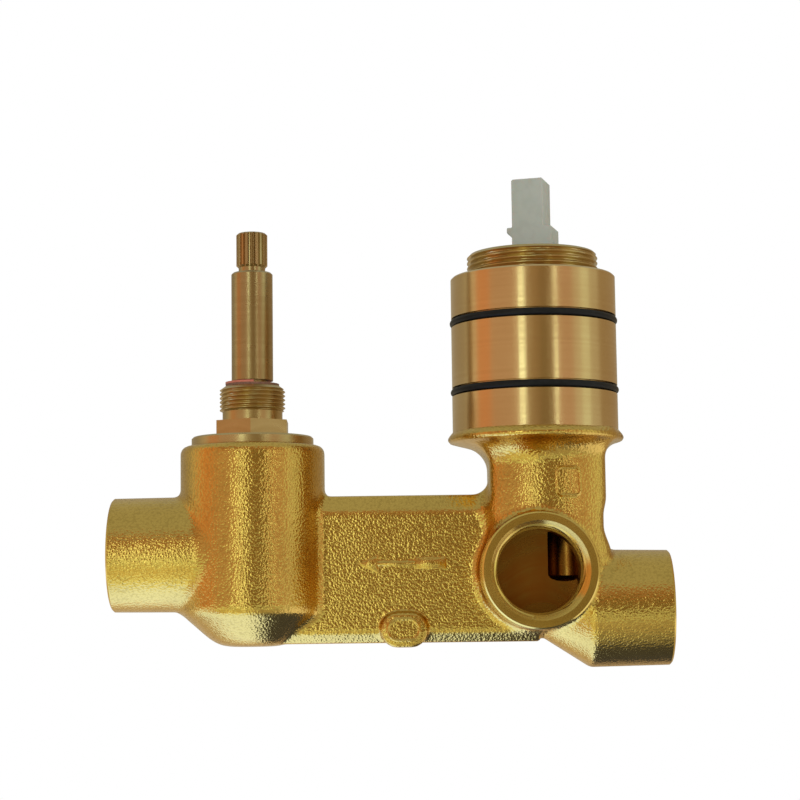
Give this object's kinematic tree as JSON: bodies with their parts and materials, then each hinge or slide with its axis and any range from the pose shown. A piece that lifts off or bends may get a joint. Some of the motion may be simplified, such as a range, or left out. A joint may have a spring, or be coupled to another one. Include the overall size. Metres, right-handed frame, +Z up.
{
  "type": "concealed shower mixer valve",
  "caption": "Cast brass concealed shower valve with a mixing cartridge, a ceramic diverter headwork and threaded ports.",
  "frame": {"origin": "where the inlet axis crosses the valve's middle plane, under the mixing cartridge", "axes": "+X along the valve towards the right outlet, +Y from the front inlet to the rear inlet, +Z up along the cartridge and the diverter spindle"},
  "size_m": [0.158, 0.063, 0.1401],
  "materials": {
    "cast_brass": "shot-blasted casting with machined faces",
    "turned_brass": "fine turned",
    "bar_brass": "turned from bar, darker",
    "grey_nylon": "moulded, slightly translucent",
    "white_acetal": "moulded",
    "ceramic": "lapped ceramic",
    "steel": "ground pin",
    "rubber": "black moulded ring",
    "red_fibre": "pressed fibre",
    "red_clip": "moulded"
  },
  "bodies": {
    "valve": {"valve_body": "cast_brass", "cylinder_o_ring_lower": "rubber", "cylinder_o_ring_upper": "rubber", "cartridge_nut": "turned_brass", "cartridge_housing": "white_acetal", "cartridge_base": "white_acetal", "cartridge_base_seal": "rubber", "cartridge_fixed_disc": "ceramic", "headwork_body": "bar_brass", "headwork_o_ring": "rubber", "spindle_washer": "red_fibre", "diverter_fixed_disc": "ceramic", "diverter_seat_seal": "rubber"},
    "swivel": {"lever_swivel": "white_acetal", "lever_pin": "steel"},
    "lever": {"lever_stem": "grey_nylon"},
    "mixing_disc": {"cartridge_moving_disc": "ceramic", "disc_carrier": "white_acetal"},
    "spindle": {"diverter_spindle": "bar_brass", "spindle_clip": "red_clip", "spindle_o_ring_lower": "rubber", "spindle_o_ring_upper": "rubber", "diverter_moving_disc": "ceramic"}
  },
  "joints": [
    {"name": "temperature_turn", "type": "hinge", "parent": "valve", "child": "swivel", "pos_m": [0.001, 0, 0.08], "axis": [0, 0, 1], "range_deg": [-34, 66]},
    {"name": "lever_lift", "type": "hinge", "parent": "swivel", "child": "lever", "pos_m": [0.001, 0, 0.08], "axis": [-0.2756, -0.9613, 0], "range_deg": [0, 25]},
    {"name": "disc_slide", "type": "slide", "parent": "swivel", "child": "mixing_disc", "axis": [0.9613, -0.2756, 0], "range_m": [0, 0.005]},
    {"name": "diverter_turn", "type": "hinge", "parent": "valve", "child": "spindle", "pos_m": [-0.0802, 0, 0.06], "axis": [0, 0, 1], "range_deg": [0, 90]}
  ],
  "couplings": [
    {"joint": "disc_slide", "follows": "lever_lift", "m_per_rad": 0.0108}
  ]
}
